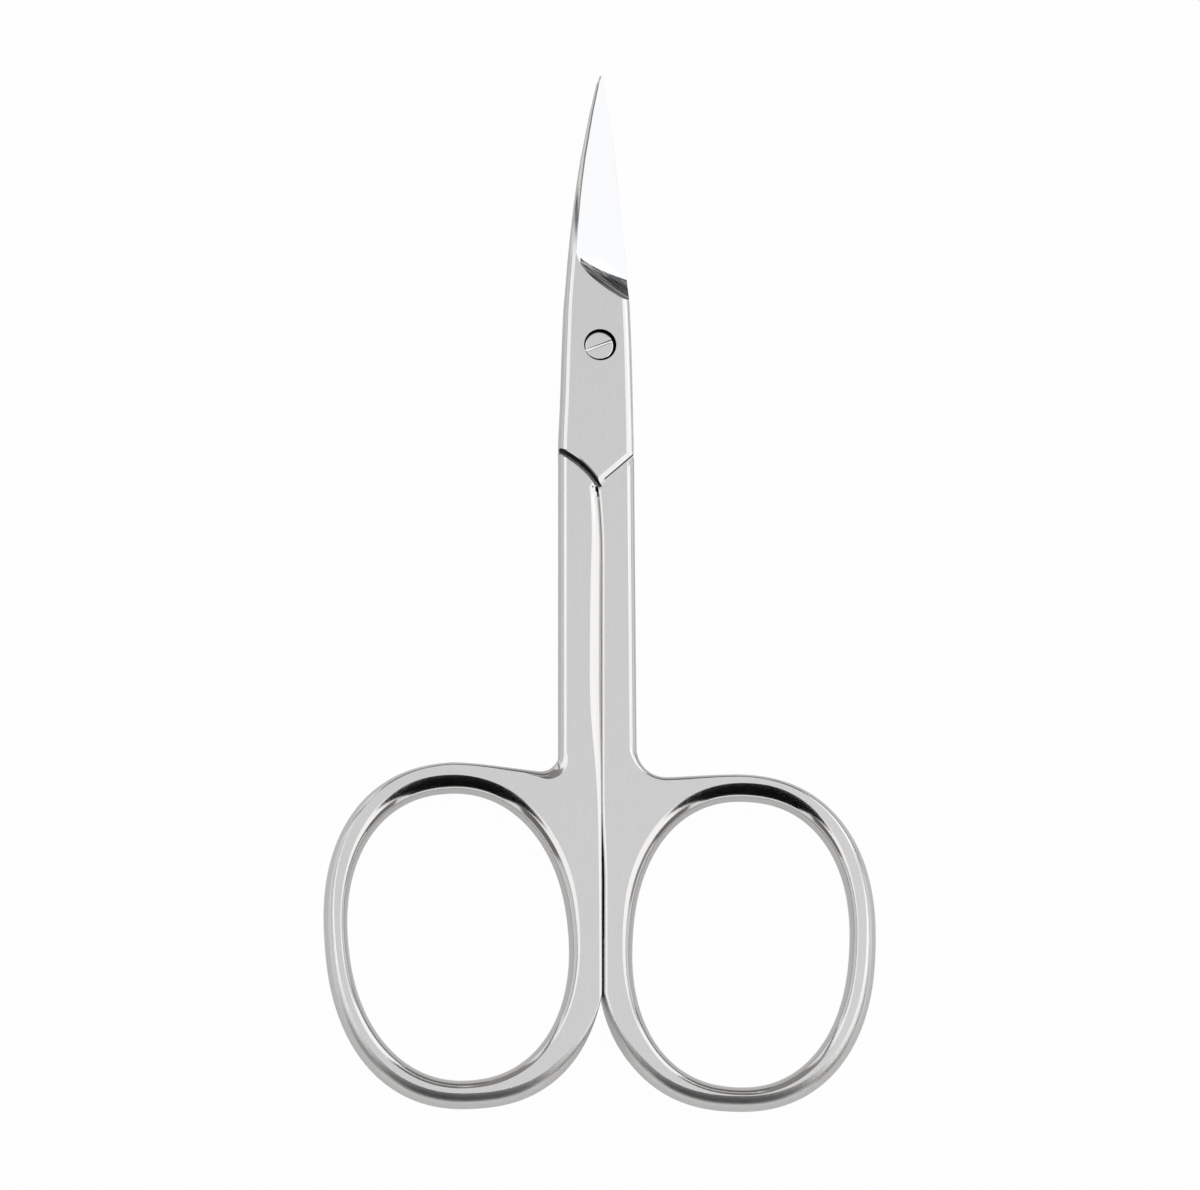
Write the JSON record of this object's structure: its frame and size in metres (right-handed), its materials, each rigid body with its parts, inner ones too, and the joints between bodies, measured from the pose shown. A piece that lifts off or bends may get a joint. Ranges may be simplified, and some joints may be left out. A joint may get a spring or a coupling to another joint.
{
  "type": "nail scissors",
  "caption": "Small nail scissors of satin steel with curved pointed blades, two oval finger bows and a slotted pivot screw sunk in the lap.",
  "frame": {"origin": "on the hinge axis, at the flat tail of the pivot screw on the scissors' back", "axes": "+Y towards the blade tips, +Z out of the front, where the screw head is, +X to the right seen from the front; the hinge axis is Z"},
  "size_m": [0.0461, 0.0899, 0.005],
  "materials": {
    "satin_steel": "flat faces brushed satin along the length, ground blades and round bow walls polished",
    "screw_steel": "fine turned satin"
  },
  "bodies": {
    "rear": {"rear_half": "satin_steel", "pivot_screw": "screw_steel"},
    "front": {"front_half": "satin_steel"}
  },
  "joints": [
    {"name": "blade_pivot", "type": "hinge", "parent": "rear", "child": "front", "pos_m": [0, 0, 0.0015], "axis": [0, 0, 1], "range_deg": [0, 75]}
  ]
}
